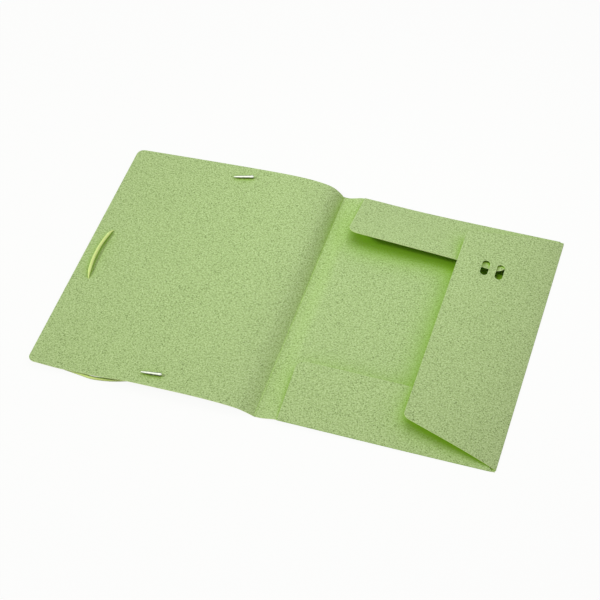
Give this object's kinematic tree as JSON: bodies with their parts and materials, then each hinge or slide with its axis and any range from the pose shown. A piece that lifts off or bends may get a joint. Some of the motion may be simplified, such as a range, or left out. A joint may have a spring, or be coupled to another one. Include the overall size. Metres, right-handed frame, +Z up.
{
  "type": "conference folder",
  "caption": "Open card document folder with a folded spine, lifted inner flaps and a round elastic closure held by metal bars.",
  "frame": {"origin": "centre of the back cover's underside, the flat face that the open folder lies on", "axes": "+X across the open folder from the front cover towards the back cover's free edge, +Y along the spine towards the top of the folder, +Z up from the face it lies on"},
  "size_m": [0.4743, 0.3223, 0.0191],
  "materials": {
    "card": "matte, uncoated, speckled card",
    "elastic": "woven round cord, satin",
    "metal": "bright, tumbled"
  },
  "bodies": {
    "back_cover": {"back_cover": "card"},
    "spine": {"spine": "card"},
    "cover_bend": {"cover_bend": "card"},
    "front_cover": {"front_cover": "card", "elastic_cord": "elastic", "upper_clip": "metal", "lower_clip": "metal"},
    "side_flap": {"side_flap": "card"},
    "top_flap": {"top_flap": "card"},
    "bottom_flap": {"bottom_flap": "card"}
  },
  "joints": [
    {"name": "spine_fold", "type": "hinge", "parent": "back_cover", "child": "spine", "pos_m": [-0.10965, 0, 0.0005], "axis": [0, 1, 0], "range_deg": [0, 90]},
    {"name": "cover_fold", "type": "hinge", "parent": "spine", "child": "cover_bend", "pos_m": [-0.12945, 0, 0.0005], "axis": [0, 1, 0], "range_deg": [0, 60]},
    {"name": "cover_relax", "type": "hinge", "parent": "cover_bend", "child": "front_cover", "pos_m": [-0.14862, 0, 0.0103], "axis": [0.0113, 0.9998, 0.019], "range_deg": [0, 29]},
    {"name": "side_flap_fold", "type": "hinge", "parent": "back_cover", "child": "side_flap", "pos_m": [0.10965, 0, 0.00065], "axis": [0, 1, 0], "range_deg": [0, 160]},
    {"name": "top_flap_fold", "type": "hinge", "parent": "back_cover", "child": "top_flap", "pos_m": [0, 0.16015, 0.00065], "axis": [-1, 0, 0], "range_deg": [0, 160]},
    {"name": "bottom_flap_fold", "type": "hinge", "parent": "back_cover", "child": "bottom_flap", "pos_m": [0, -0.16015, 0.00065], "axis": [1, 0, 0], "range_deg": [0, 160]}
  ],
  "couplings": [
    {"joint": "cover_relax", "follows": "cover_fold", "ratio": 0.48},
    {"joint": "top_flap_fold", "follows": "side_flap_fold", "ratio": 1},
    {"joint": "bottom_flap_fold", "follows": "side_flap_fold", "ratio": 1}
  ]
}
